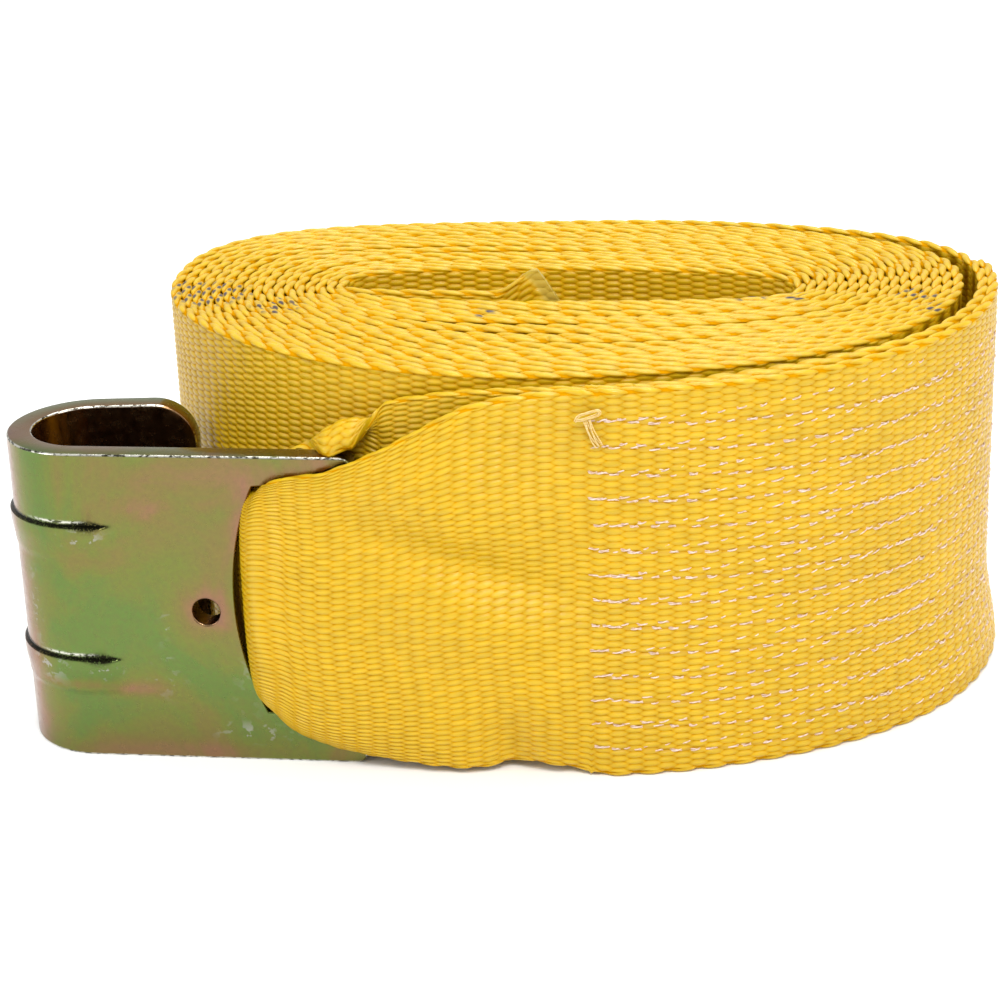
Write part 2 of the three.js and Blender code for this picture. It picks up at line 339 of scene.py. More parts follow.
def lens(along, across):
    """A rounded bump over an oval, 0 outside it."""
    return np.sqrt(np.clip(1 - along ** 2 - across ** 2, 0, 1))


def weave(s, w):
    """Relief of the long warp floats on a face: 0 between them, 1 on their backs."""
    column = np.floor(s / COLUMN + 0.5)
    ds = np.abs(s - column * COLUMN)
    odd = np.mod(column, 2)

    def floats(distance, shifted):
        row = w / ROW - shifted / 2
        return lens(distance / FLOAT_LONG, (row - np.round(row)) * ROW / FLOAT_TALL)

    return np.maximum(floats(ds, odd), floats(COLUMN - ds, 1 - odd))


def rope(s, around):
    """Relief of the edge, whose yarns cross it at a slant like the strands of a rope."""
    height = 0
    for side, middle in enumerate(ROPE_MIDDLES):
        ds = s - side * COLUMN
        ds = ds - 2 * COLUMN * np.round(ds / (2 * COLUMN))
        strand = lens(ds / ROPE_LONG, (around - middle - ds * ROPE_SLANT) / ROPE_WIDE)
        height = np.maximum(height, strand)
    return height


FACE_PLUS, TOP_RIM, FACE_MINUS, BOTTOM_RIM = range(4)


class Section:
    """The ring of points round the webbing at one place along it."""

    RIM_POINTS = 12

    def __init__(self, rows_plus, rows_minus):
        inner = WEB_WIDTH - 2 * RIM_ROUND
        angles = np.linspace(0, np.pi, self.RIM_POINTS + 2)[1:-1]
        up = RIM_ROUND + inner * np.linspace(0, 1, rows_plus)
        down = RIM_ROUND + inner * np.linspace(1, 0, rows_minus)
        top = WEB_WIDTH - RIM_ROUND + RIM_ROUND * np.sin(angles)
        bottom = RIM_ROUND - RIM_ROUND * np.sin(angles)
        self.w = np.concatenate([up, top, down, bottom])
        ones, zeros = np.ones, np.zeros
        self.across = np.concatenate([
            ones(rows_plus), np.cos(angles), -ones(rows_minus), -np.cos(angles),
        ])
        self.upward = np.concatenate([
            zeros(rows_plus), np.sin(angles), zeros(rows_minus), -np.sin(angles),
        ])
        self.kind = np.concatenate([
            np.full(rows_plus, FACE_PLUS), np.full(len(angles), TOP_RIM),
            np.full(rows_minus, FACE_MINUS), np.full(len(angles), BOTTOM_RIM),
        ])
        self.around = np.concatenate([
            zeros(rows_plus), angles, np.pi * ones(rows_minus), np.pi - angles,
        ])


# How many points across a face that shows, one that is mostly hidden, and one that is hidden.
FINE_ROWS = 1 + int(round((WEB_WIDTH - 2 * RIM_ROUND) / (ROW / 4)))
PLAIN_ROWS = 9
HIDDEN_ROWS = 3

# Dark ink marks on the top edges of some turns: plan place and reach.
INK_MARKS = [
    ((-86, 76), 13), ((-66, 66), 8), ((-95, 84), 5),
    ((-10.5, 61.5), 3.5),
    ((99, 79), 6), ((103, 67), 5), ((56, 77), 5), ((68, 77), 4),
]
INK_ROUND_TOP = 0.75
LEVEL_RISE = 0.80


def ink_on(x, y, section):
    """How inked each place is: only the tops of the edges took the ink."""
    amount = np.zeros_like(x)
    for place, reach in INK_MARKS:
        distance = np.hypot(x - place[0], y - place[1])
        amount = np.maximum(amount, smoothstep(-distance, -reach, -0.6 * reach))
    on_top = (section.kind == TOP_RIM) & (np.abs(section.around - np.pi / 2) < INK_ROUND_TOP)
    return amount * on_top


def level_roll(s, w, x):
    """A turn of the roll stands level, but for a little unevenness."""
    uneven = LEVEL_RISE + 0.3 * np.sin(s / 41 + 0.8) + 0.15 * np.sin(s / 17.3)
    return np.zeros_like(x), w + uneven, 0.0


def as_woven(s, w):
    """Where a place falls in the weave, whose rows and columns wander a little."""
    return s + 0.4 * np.sin(w / 7.3 + s / 31), w + 0.25 * np.sin(s / 23 + w / 40)


def rim_width(s, ny, inward):
    """Edges spread to meet their neighbours, most of all along the looser front."""
    front = smoothstep(-ny, 0.6, 0.97) * (1 - smoothstep(s, S_LOOP - 25, S_LOOP))
    last = smoothstep(s, S_OUTER_BACK, S_OUTER_BACK + 60)
    front = front * smoothstep(s, S_FOLD, S_FOLD + 10)
    return RIM_WIDER + (RIM_WIDER_FRONT + RIM_WIDER_LAST * last * inward) * front


# ---- The seam's rows ----

SEAM_ROWS = 14
SEAM_TOP = 94.6
SEAM_PITCH = 6.66
SEAM_START = -3.2
SEAM_MARGIN = 6.0
SEAM_SLOPE = 0.08
SEAM_SAG = 5.0
SEAM_SAG_RUN = 48.0
STITCH_PITCH = 4.75
GROOVE_HALF = 0.42
GROOVE_DEEP = 0.2
SEALED_FLATTER = 0.8
SEALED_THINNER = 0.35


def seam_level(along):
    """How far the rows of sewing drift down from where they start."""
    return -SEAM_SAG * (1 - np.exp(-along / SEAM_SAG_RUN))


def seam_pull(s, w):
    """The groove that each row of sewing pulls into the webbing, also the mask of the painted shade
    along it.
    """
    along = s - S_LAP - SEAM_START
    sewn = smoothstep(along, 0, 2) * smoothstep(line.length - s, SEAM_MARGIN - 2, SEAM_MARGIN)
    rows = (w - SEAM_TOP - seam_level(np.clip(along, 0, None))) / SEAM_PITCH
    off = (rows - np.round(rows)) * SEAM_PITCH
    inside = (rows < 0.5) & (rows > 0.5 - SEAM_ROWS)
    return np.exp(-(off / GROOVE_HALF) ** 2) * sewn * inside


def woven_relief(woven_s, woven_w, section):
    """Relief from 0 to 1 all round: floats on a finely divided face, a rope on the rims."""
    relief = np.full(woven_s.shape, 0.5)
    for kind in (FACE_PLUS, TOP_RIM, FACE_MINUS, BOTTOM_RIM):
        there = section.kind == kind
        if kind in (TOP_RIM, BOTTOM_RIM):
            relief[:, there] = rope(woven_s[:, there], section.around[None, there])
        elif there.sum() > PLAIN_ROWS:
            relief[:, there] = weave(woven_s[:, there], woven_w[:, there])
    return relief


def strap_piece(name, start, end, step, section, shape, cut=None, seal=None):
    """A closed stretch of webbing between two places on the strap's line."""
    stations = np.linspace(start, end, 1 + int(round((end - start) / step)))
    s = np.repeat(stations[:, None], len(section.w), axis=1)
    w = np.repeat(section.w[None, :], len(stations), axis=0)
    if cut is not None:
        s = cut(s, w)
    woven_s, woven_w = as_woven(s, w)
    relief = woven_relief(woven_s, woven_w, section)
    rim = np.isin(section.kind, (TOP_RIM, BOTTOM_RIM))[None, :]
    pulled = seam_pull(s, w)
    rise = (relief - 0.5) * np.where(rim, RIM_RELIEF, FACE_RELIEF) - GROOVE_DEEP * pulled
    x, y, nx, ny = line.at(s)
    seal = np.zeros_like(s) if seal is None else seal(s, w)
    rise = rise * (1 - SEALED_FLATTER * seal)
    bulge, z, tilt = shape(s, w + rise * section.upward[None, :], x)
    half = WEB_THICK / 2 * np.where(rim, rim_width(s, ny, section.across[None, :] < 0), 1.0)
    off = section.across[None, :] * (half * (1 - SEALED_THINNER * seal) + rise)
    out = bulge + off * np.cos(tilt)
    z = z - off * np.sin(tilt)
    points = np.stack([x + nx * out, y + ny * out, z], axis=2).reshape(-1, 3)
    ring = len(section.w)
    faces = grid_faces(len(stations), ring)
    quads = len(faces)
    faces.append(list(range(ring))[::-1])
    faces.append([(len(stations) - 1) * ring + j for j in range(ring)])
    around = np.broadcast_to(section.around[None, :], s.shape)
    attributes = {
        "edge": np.broadcast_to(rim, s.shape).astype(float).ravel(),
        "strap": np.stack([woven_s, woven_w, around], axis=2).reshape(-1, 3),
        "ink": ink_on(x, y, section).ravel(),
        "pulled": pulled.ravel(),
        "seal": seal.ravel(),
    }
    piece = mesh_object(name, points, faces, attributes, (quads, quads + 1))
    piece.data.materials.append(webbing)
    return piece


def grid_faces(stations, ring):
    """Quads round and along a closed tube of rings."""
    base = (np.arange(stations - 1) * ring)[:, None]
    here = np.arange(ring)[None, :]
    after = (here + 1) % ring
    quads = np.stack([
        base + here, base + after, base + ring + after, base + ring + here,
    ], axis=2)
    return quads.reshape(-1, 4).tolist()


# ---- Materials ----

class Nodes:
    """Short ways to add and join shader nodes."""

    def __init__(self, name):
        self.material = bpy.data.materials.new(name)
        self.material.use_nodes = True
        self.tree = self.material.node_tree
        self.surface = self.tree.nodes["Principled BSDF"]

    def set(self, socket, value):
        self.surface.inputs[socket].default_value = value

    def join(self, output, target):
        self.tree.links.new(output, target)

    def feed(self, node, index, value):
        if hasattr(value, "is_linked") or hasattr(value, "links"):
            self.join(value, node.inputs[index])
        else:
            node.inputs[index].default_value = value

    def math(self, operation, a, b=0.0, clamp=False):
        node = self.tree.nodes.new("ShaderNodeMath")
        node.operation = operation
        node.use_clamp = clamp
        self.feed(node, 0, a)
        self.feed(node, 1, b)
        return node.outputs[0]

    def attribute(self, name, output="Fac"):
        node = self.tree.nodes.new("ShaderNodeAttribute")
        node.attribute_name = name
        return node.outputs[output]

    def noise(self, vector, scale, detail=2.0, rough=0.5, distortion=0.0):
        """Noise with its own scale along each axis."""
        mapping = self.tree.nodes.new("ShaderNodeMapping")
        self.join(vector, mapping.inputs["Vector"])
        mapping.inputs["Scale"].default_value = scale
        node = self.tree.nodes.new("ShaderNodeTexNoise")
        self.join(mapping.outputs["Vector"], node.inputs["Vector"])
        node.inputs["Scale"].default_value = 1.0
        node.inputs["Detail"].default_value = detail
        node.inputs["Roughness"].default_value = rough
        node.inputs["Distortion"].default_value = distortion
        return node.outputs["Fac"]

    def ramp(self, value, stops):
        node = self.tree.nodes.new("ShaderNodeValToRGB")
        self.join(value, node.inputs["Fac"])
        elements = node.color_ramp.elements
        while len(elements) < len(stops):
            elements.new(0.5)
        for element, (place, colour) in zip(elements, stops):
            element.position = place
            element.color = (*colour, 1)
        return node.outputs["Color"]

    def between(self, value, low, high, to_low=0.0, to_high=1.0):
        node = self.tree.nodes.new("ShaderNodeMapRange")
        self.feed(node, 0, value)
        for index, number in enumerate((low, high, to_low, to_high), start=1):
            node.inputs[index].default_value = number
        return node.outputs["Result"]

    def mix(self, share, a, b, blend="MIX"):
        node = self.tree.nodes.new("ShaderNodeMix")
        node.data_type = "RGBA"
        node.blend_type = blend
        self.feed(node, 0, share)
        for index, value in ((6, a), (7, b)):
            if isinstance(value, tuple):
                node.inputs[index].default_value = (*value, 1)
            else:
                self.join(value, node.inputs[index])
        return node.outputs[2]

    def bump(self, height, strength, distance):
        node = self.tree.nodes.new("ShaderNodeBump")
        node.inputs["Strength"].default_value = strength
        node.inputs["Distance"].default_value = distance
        self.join(height, node.inputs["Height"])
        self.join(node.outputs["Normal"], self.surface.inputs["Normal"])


def lens_nodes(n, along, across):
    """The same rounded bump as lens, in shader nodes."""
    squares = n.math("ADD", n.math("MULTIPLY", along, along), n.math("MULTIPLY", across, across))
    return n.math("SQRT", n.math("MAXIMUM", n.math("SUBTRACT", 1.0, squares), 0.0))


def from_nearest(n, value):
    return n.math("SUBTRACT", value, n.math("ROUND", value))


def weave_nodes(n, s, w):
    """The same relief as weave, in shader nodes."""
    column = n.math("DIVIDE", s, COLUMN)
    nearest = n.math("ROUND", column)
    distance = n.math("ABSOLUTE", n.math("SUBTRACT", column, nearest))
    odd = n.math("MODULO", nearest, 2.0)
    row = n.math("DIVIDE", w, ROW)

    def floats(columns_off, shifted):
        shift = n.math("SUBTRACT", row, n.math("DIVIDE", shifted, 2.0))
        across = n.math("MULTIPLY", from_nearest(n, shift), ROW / FLOAT_TALL)
        return lens_nodes(n, n.math("MULTIPLY", columns_off, COLUMN / FLOAT_LONG), across)

    here = floats(distance, odd)
    beside = floats(n.math("SUBTRACT", 1.0, distance), n.math("SUBTRACT", 1.0, odd))
    return n.math("MAXIMUM", here, beside)


def rope_nodes(n, s, around):
    """The same relief as rope, in shader nodes."""
    strands = []
    for side, middle in enumerate(ROPE_MIDDLES):
        repeats = n.math("DIVIDE", n.math("SUBTRACT", s, side * COLUMN), 2 * COLUMN)
        ds = n.math("MULTIPLY", from_nearest(n, repeats), 2 * COLUMN)
        slanted = n.math("ADD", middle, n.math("MULTIPLY", ds, ROPE_SLANT))
        across = n.math("DIVIDE", n.math("SUBTRACT", around, slanted), ROPE_WIDE)
        strands.append(lens_nodes(n, n.math("DIVIDE", ds, ROPE_LONG), across))
    return n.math("MAXIMUM", *strands)


def webbing_material():
    """Polyester yarn: yellow on the floats and deep orange between them, darkened there as painted
    shade, with fine filaments.
    """
    n = Nodes("webbing")
    strap = n.attribute("strap", "Vector")
    split = n.tree.nodes.new("ShaderNodeSeparateXYZ")
    n.join(strap, split.inputs[0])
    s, w, around = split.outputs
    edge = n.attribute("edge")
    face = weave_nodes(n, s, w)
    rim = n.between(rope_nodes(n, s, around), 0.0, 1.0, 0.25, 1.0)
    relief = n.math("ADD", face, n.math("MULTIPLY", edge, n.math("SUBTRACT", rim, face)))

    yarns = n.tree.nodes.new("ShaderNodeCombineXYZ")
    n.join(s, yarns.inputs[0])
    n.join(n.math("ADD", w, n.math("MULTIPLY", around, RIM_ROUND)), yarns.inputs[1])
    filament = n.noise(yarns.outputs[0], (0.35, 6.5, 1.0), 2.0, 0.6)
    patch = n.noise(strap, (0.03, 0.05, 1.0), 3.0, 0.5)
    # Painted shade: the yarn darkens to deep orange towards the crevices between the floats and
    # between the edge strands.
    yarn = n.ramp(relief, [
        (0.0, (0.48, 0.150, 0.001)),
        (0.32, (0.56, 0.265, 0.001)),
        (0.6, (0.585, 0.335, 0.002)),
        (1.0, (0.615, 0.400, 0.004)),
    ])
    floats = n.noise(strap, (1 / COLUMN, 1 / ROW, 0.0), 0.0)
    fibre = n.between(filament, 0.3, 0.7, 0.90, 1.05)
    tone = n.between(patch, 0.3, 0.7, 0.94, 1.04)
    single = n.between(floats, 0.25, 0.75, 0.92, 1.07)
    shade = n.math("MULTIPLY", n.math("MULTIPLY", fibre, tone), single)
    grey = n.tree.nodes.new("ShaderNodeCombineColor")
    for socket in ("Red", "Green", "Blue"):
        n.join(shade, grey.inputs[socket])
    colour = n.mix(1.0, yarn, grey.outputs["Color"], "MULTIPLY")
    # Painted shade: darker orange along the groove that each row of sewing pulls in.
    pulled = n.math("MULTIPLY", n.attribute("pulled"), 0.3)
    colour = n.mix(pulled, colour, (0.42, 0.16, 0.01))
    colour = n.mix(n.attribute("seal"), colour, (0.50, 0.36, 0.05))
    inked = n.math("MULTIPLY", n.attribute("ink"), n.between(relief, 0.89, 0.96))
    colour = n.mix(inked, colour, (0.05, 0.028, 0.035))
    n.join(colour, n.surface.inputs["Base Color"])
    gloss = n.between(filament, 0.3, 0.7, 0.40, 0.27)
    n.join(gloss, n.surface.inputs["Roughness"])
    shine = n.between(relief, 0.3, 0.9, 0.0, 0.5)
    n.join(shine, n.surface.inputs["Specular IOR Level"])
    height = n.math("ADD", n.math("MULTIPLY", filament, 0.35), relief)
    n.bump(height, 0.75, 0.0003)
    return n.material


def thread_material(name, dark, light):
    """Bonded thread, twisted fine enough to show as a change of tone."""
    n = Nodes(name)
    place = n.tree.nodes.new("ShaderNodeTexCoord").outputs["Object"]
    twist = n.noise(place, (900.0, 900.0, 4200.0), 1.0)
    colour = n.ramp(twist, [(0.35, dark), (0.65, light)])
    n.join(colour, n.surface.inputs["Base Color"])
    n.set("Roughness", 0.4)
    n.bump(twist, 0.3, 0.0001)
    return n.material


def zinc_material():
    """Yellow zinc plating: thin film colours in soft clouds, worn grey on the high places, and
    near-black and silver edges that are partly worn bare metal and partly painted highlight and
    dark reflection.
    """
    n = Nodes("zinc")
    place = n.tree.nodes.new("ShaderNodeTexCoord").outputs["Object"]
    cloud = n.noise(place, (34.0, 34.0, 26.0), 5.0, 0.6, 0.8)
    clouds = n.between(cloud, 0.34, 0.66, -0.22, 0.38)
    share = n.math("ADD", clouds, n.math("MULTIPLY", n.attribute("tint"), 0.62))
    film = n.ramp(share, [
        (0.0, (0.125, 0.195, 0.050)),
        (0.22, (0.168, 0.190, 0.047)),
        (0.45, (0.205, 0.165, 0.055)),
        (0.68, (0.265, 0.145, 0.082)),
        (1.0, (0.205, 0.105, 0.102)),
    ])
    fleck = n.noise(place, (900.0, 900.0, 900.0), 3.0, 0.7)
    film = n.mix(n.between(fleck, 0.35, 0.65, 0.0, 0.25), film, (0.15, 0.11, 0.06))
    worn_noise = n.noise(place, (260.0, 260.0, 300.0), 3.0, 0.6)
    worn = n.math("MULTIPLY", n.attribute("worn"), n.between(worn_noise, 0.56, 0.60))
    film = n.mix(worn, film, (0.40, 0.39, 0.38))
    film = n.mix(n.attribute("inner"), film, (0.26, 0.15, 0.070))
    # Near-black and silver in patches: worn bare metal on the bevelled edges, with painted
    # highlight and painted dark reflection there, and painted highlight over each rib's step.
    nicks = n.noise(place, (700.0, 700.0, 1500.0), 2.0, 0.6)
    worn_edge_and_highlight = n.mix(n.between(nicks, 0.40, 0.52), (0.05, 0.05, 0.04), (0.75, 0.74, 0.66))
    film = n.mix(n.attribute("worn_edge_and_highlight"), film, worn_edge_and_highlight)
    # Painted dark reflection: a near-black line along each rib's step, frayed by noise.
    fuzz = n.between(n.noise(place, (1900.0, 1900.0, 1900.0), 2.0, 0.7), 0.36, 0.52, 0.55, 1.6)
    painted_dark_reflection = n.math("MULTIPLY", n.attribute("rib_dark_reflection"), fuzz, clamp=True)
    film = n.mix(painted_dark_reflection, film, (0.012, 0.012, 0.006))
    n.join(film, n.surface.inputs["Base Color"])
    n.set("Metallic", 1.0)
    grain = n.noise(place, (420.0, 420.0, 420.0), 4.0, 0.6)
    rough = n.between(grain, 0.3, 0.7, 0.16, 0.30)
    n.join(rough, n.surface.inputs["Roughness"])
    scratch = n.noise(place, (120.0, 120.0, 2600.0), 1.0)
    height = n.math("ADD", grain, n.math("MULTIPLY", scratch, 0.25))
    n.bump(height, 0.16, 0.0004)
    return n.material


webbing = webbing_material()
thread = thread_material("thread", (0.55, 0.36, 0.25), (0.80, 0.66, 0.58))
loose_thread = thread_material("loose_thread", (0.64, 0.42, 0.10), (0.76, 0.58, 0.26))
zinc = zinc_material()


# ---- Strap pieces on the roll ----

FLOAT_STEP = COLUMN / 6
EDGE_STEP = COLUMN / 4
CUT_SLOPE = 0.80
CUT_FROM_W = 91.0
CUT_ZONE = 30.0
CORNER_OUT = 3.0
CORNER_UP = 7.4


def cut_edge(w):
    """How far the slanted cut stands from the strap's end, up its width."""
    return CUT_SLOPE * np.clip(w - CUT_FROM_W, 0, None)


def slanted_cut(s, w):
    """The inner end is cut at a slant, so its upper corner stops short."""
    return s + cut_edge(w) * np.clip(1 - s / CUT_ZONE, 0, 1)


def sealed_end(s, w):
    """Melted along the slanted cut."""
    return smoothstep(-(s - cut_edge(w)), -4.4, -3.0)


def free_end_shape(s, w, x):
    """The freed corner curls up and back a little."""
    _, z, tilt = level_roll(s, w, x)
    corner = smoothstep(-s, -20, -8) * smoothstep(w, 74, WEB_WIDTH)
    return CORNER_OUT * corner, z + CORNER_UP * corner, tilt


def turn_names(first, last):
    """The CAD nodes of a run of turns."""
    return [f"webbing_turn_{number:02d}" for number in range(first, last + 1)]


def build_roll():
    """The free end, the turns and the strap under the lap, which all ride on the roll."""
    both = Section(FINE_ROWS, FINE_ROWS)
    outer = Section(FINE_ROWS, PLAIN_ROWS)
    inner = Section(PLAIN_ROWS, FINE_ROWS)
    edges = Section(HIDDEN_ROWS, HIDDEN_ROWS)
    spans = [
        ("strap_free_end", 0, S_FOLD, FLOAT_STEP, both, free_end_shape, ["webbing_free_end"]),
        ("strap_first_turn", S_FOLD, S_TURN_1, COLUMN / 5, inner, level_roll, turn_names(1, 1)),
        ("strap_turns_inner", S_TURN_1, S_TURN_8, EDGE_STEP, edges, level_roll, turn_names(2, 8)),
        ("strap_turns_middle", S_TURN_8, S_TURN_12, EDGE_STEP, edges, level_roll,
         turn_names(9, 12)),
        ("strap_turns_outer", S_TURN_12, S_TURN_16, EDGE_STEP, edges, level_roll,
         turn_names(13, 15)),
        ("strap_last_turn_left", S_TURN_16, S_OUTER_LEFT, FLOAT_STEP, outer, level_roll,
         turn_names(16, 16)),
        ("strap_last_turn_back", S_OUTER_LEFT, S_OUTER_BACK, FLOAT_STEP, outer, lap_shape,
         turn_names(17, 17)),
        ("strap_last_turn_front", S_OUTER_BACK, S_LOOP, FLOAT_STEP, outer, lap_shape,
         ["lap_inner_ply"]),
    ]
    ends = {"strap_free_end": (slanted_cut, sealed_end)}
    for name, start, end, step, section, shape, nodes in spans:
        cut, seal = ends.get(name, (None, None))
        piece = strap_piece(name, start, end, step, section, shape, cut, seal)
        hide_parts(*nodes)
        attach(piece, "roll")


# ---- The lap and the loop ----

# Heights of the loop's edges along X: the lower edge of both plies, then each upper edge.
LOOP_LOW = table_curve([
    (-64, 15.6), (-60.5, 15.2), (-57.5, 12.6), (-53, 8.6), (-45.7, 5.8), (-32.9, 3.4),
    (-22, 2.2), (-13, 1.6), (-2, 1.9), (8, 2.6), (16, 1.6), (23, 0.6), (30, 0.4), (140, 0.4),
])
REAR_HIGH = table_curve([
    (-64, 73.0), (-60.5, 75.6), (-57, 79.0), (-53, 81.5), (-50.5, 82.7), (-47, 84.9),
    (-43.3, 87.2), (-39, 90.2), (-35, 91.2), (-30, 93.9), (-25.8, 95.5), (-17.7, 97.4),
    (-10.4, 98.7), (0, 99.8), (12, 100.8), (23, 101.3), (30, 101.6), (140, 101.6),
])
LOOP_HIGH = table_curve([
    (-64, 72.0), (-60.5, 72.4), (-57.5, 73.6), (-53, 75.4), (-48.9, 77.0), (-43.6, 79.3),
    (-36.1, 82.7), (-28.7, 86.3), (-22.5, 89.8), (-16.3, 93.2), (-9, 96.8), (0.7, 99.3),
    (12, 100.6), (23, 101.2), (30, 101.6), (140, 101.6),
])
ROLLED_WIDTH = 13.0
ROLLED_RADIUS = 3.6
ROLLED_RISE = 5.2
FLARE_X = (54, 123)
FLARE_OUT = 3.4
LOOP_HUMP = 2.8
TAIL_RISE = 1.4
EDGE_CURL = 2.8
EYE_CURL = 2.1
EYE_HOLLOW = 2.7

# Soft swells and hollows of the two plies: how far out, x, z, how wide, how tall, tilt.
FRONT_SWELLS = [
    (3.0, -14, 74, 26, 13, -0.30), (-3.2, -9, 57.5, 30, 6.0, -0.33), (3.2, -8, 42, 20, 11, 0.1),
    (1.6, -44, 42, 11, 32), (1.8, 12.8, 24, 7, 13), (-3.8, 0.5, 5, 6, 18, 0.22),
    (-1.6, 20, 59, 6, 15),
]
REAR_SWELLS = [(1.5, -20, 55, 22, 26), (-1.2, -8, 85, 16, 10)]


def swells(x, z, places):
    """All the swells of a face together."""
    return sum(out * bump_at(x, z, *place) for out, *place in places)


def lap_flare(x, w, s):
    """The lower edge of the lap stands off the roll towards the tail."""
    low = smoothstep(-w, -0.34 * WEB_WIDTH, 0)
    return FLARE_OUT * low * low * smoothstep(x, *FLARE_X)


def lap_shape(s, w, x):
    """The strap under the lap: level where it meets the seam, and flared with the lap."""
    _, z, tilt = level_roll(s, w, x)
    drawn = smoothstep(-s, -S_LOOP, -(S_LOOP - 60))
    front = smoothstep(s, S_LAP_TAIL - 60, S_LAP_TAIL + 10)
    return lap_flare(x, w, s) * front, z * drawn + w * (1 - drawn), tilt


def narrowed(w, low, high):
    """Height of each part of the width when it is gathered between two levels."""
    half = (high - low) / 2
    share = 2 * w / WEB_WIDTH - 1
    power = WEB_WIDTH / 2 / half
    gathered = 1 - np.clip(1 - np.abs(share), 0, None) ** power
    over = np.clip(np.abs(share) - 1, 0, None) * WEB_WIDTH / 2
    return low + half + np.sign(share) * (half * gathered + over)


def loop_curl(w, x, front):
    """The front ply's edges curl in towards the plate, and the eye bows round its bar."""
    share = np.abs(2 * w / WEB_WIDTH - 1)
    in_loop = smoothstep(-x, -26, -14)
    at_eye = smoothstep(-x, 55, 62)
    edge = np.clip((share - 0.5) / 0.5, 0, None)
    curl = EDGE_CURL * edge ** 2 * in_loop * (1 - smoothstep(-x, 50, 60)) * front
    curl = curl + EYE_CURL * np.clip(share, 0, 1) ** 5 * at_eye
    return curl - EYE_HOLLOW * (1 - np.clip(share, 0, 1) ** 2.4) * at_eye


def loop_shape(s, w, x):
    """Narrowed to pass through the slot, and dented as stiff webbing is."""
    front = smoothstep(s, S_EYE - 6, S_EYE + 6)
    rolled = smoothstep(-x, 29, 36) * (1 - smoothstep(-x, 43, 52)) * (1 - front)
    hump = LOOP_HUMP * smoothstep(s, S_EYE + 2.5, S_EYE + 7) * smoothstep(-x, 42, 58)
    low = LOOP_LOW(x)
    rear_high = REAR_HIGH(x) + ROLLED_RISE * rolled
    high = (LOOP_HIGH(x) + hump) * front + rear_high * (1 - front)
    z = narrowed(w, low, high)
    swell = swells(x, z, FRONT_SWELLS) * front + swells(x, z, REAR_SWELLS) * (1 - front)
    bulge = loop_curl(w, x, front) - swell * smoothstep(-x, -26, -16)
    bulge = bulge - lap_flare(x, w, s) * smoothstep(s, S_LAP, S_LAP + 30)
    z = z + TAIL_RISE * smoothstep(s, line.length - 60, line.length)

    # The rear ply's upper edge rolls over towards the front, above the plate.
    start = WEB_WIDTH - ROLLED_WIDTH
    turned = np.clip(w - start, 0, None) / ROLLED_RADIUS
    level = narrowed(start + 0 * w, low, high)
    on_curl = rolled * (w > start)
    z = z + on_curl * (level + ROLLED_RADIUS * np.sin(turned) - z)
    bulge = bulge + on_curl * ROLLED_RADIUS * (1 - np.cos(turned))
    return bulge, z, on_curl * turned


def build_loop():
    """The two pieces of the outer end: from the seam to the eye, and from the eye to the tail."""
    loop = strap_piece("strap_loop", S_LOOP, S_EYE, FLOAT_STEP,
                       Section(FINE_ROWS, FINE_ROWS), loop_shape)
    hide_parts("loop_rear_ply", "loop_eye")
    lap = strap_piece("strap_lap", S_EYE, line.length, FLOAT_STEP,
                      Section(PLAIN_ROWS, FINE_ROWS), loop_shape)
    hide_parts("loop_front_ply", "lap_outer_ply")
    return loop, lap


# ---- Sewing ----

STITCH_LONG = 4.2
STITCH_LIFT = 0.12
STRAND_RADIUS = 0.20
STRAND_APART = 0.20
STRAND_TWIST = 4.2


def lap_surface(s, w):
    """A place on the lap's outer face, with the way out of it."""
    x, y, nx, ny = line.at(s)
    bulge, z, _ = loop_shape(s, w, x)
    out = bulge - WEB_THICK / 2
    place = np.stack([x + nx * out, y + ny * out, z], axis=-1)
    return place, np.stack([-nx, -ny, 0 * nx], axis=-1)


def stitch_rows():
    """Each row's level line and the slanting line that comes back, as stitches on the lap."""
    rng = np.random.default_rng(7)
    places = []
    count = int((line.length - S_LAP - SEAM_START - SEAM_MARGIN) / STITCH_PITCH)
    for row in range(SEAM_ROWS + 1):
        level = SEAM_TOP - row * SEAM_PITCH
        for slanting in (False, True):
            for k in range(count):
                along = (k + 0.4 + 0.5 * slanting) * STITCH_PITCH + rng.normal(0, 0.35)
                drift = -SEAM_SAG / SEAM_SAG_RUN * math.exp(-along / SEAM_SAG_RUN)
                w = level + seam_level(along) + SEAM_SLOPE * along * slanting
                w += rng.normal(0, 0.16)
                tilt = drift + SEAM_SLOPE * slanting + rng.normal(0, 0.03)
                long = STITCH_LONG * rng.uniform(0.6, 1.1)
                sunk = rng.uniform(-0.28, 0.08)
                beyond = row == SEAM_ROWS and not slanting
                if 4 < w < WEB_WIDTH - 4 and not beyond:
                    places.append((S_LAP + SEAM_START + along, w, tilt, long, sunk))
    return places


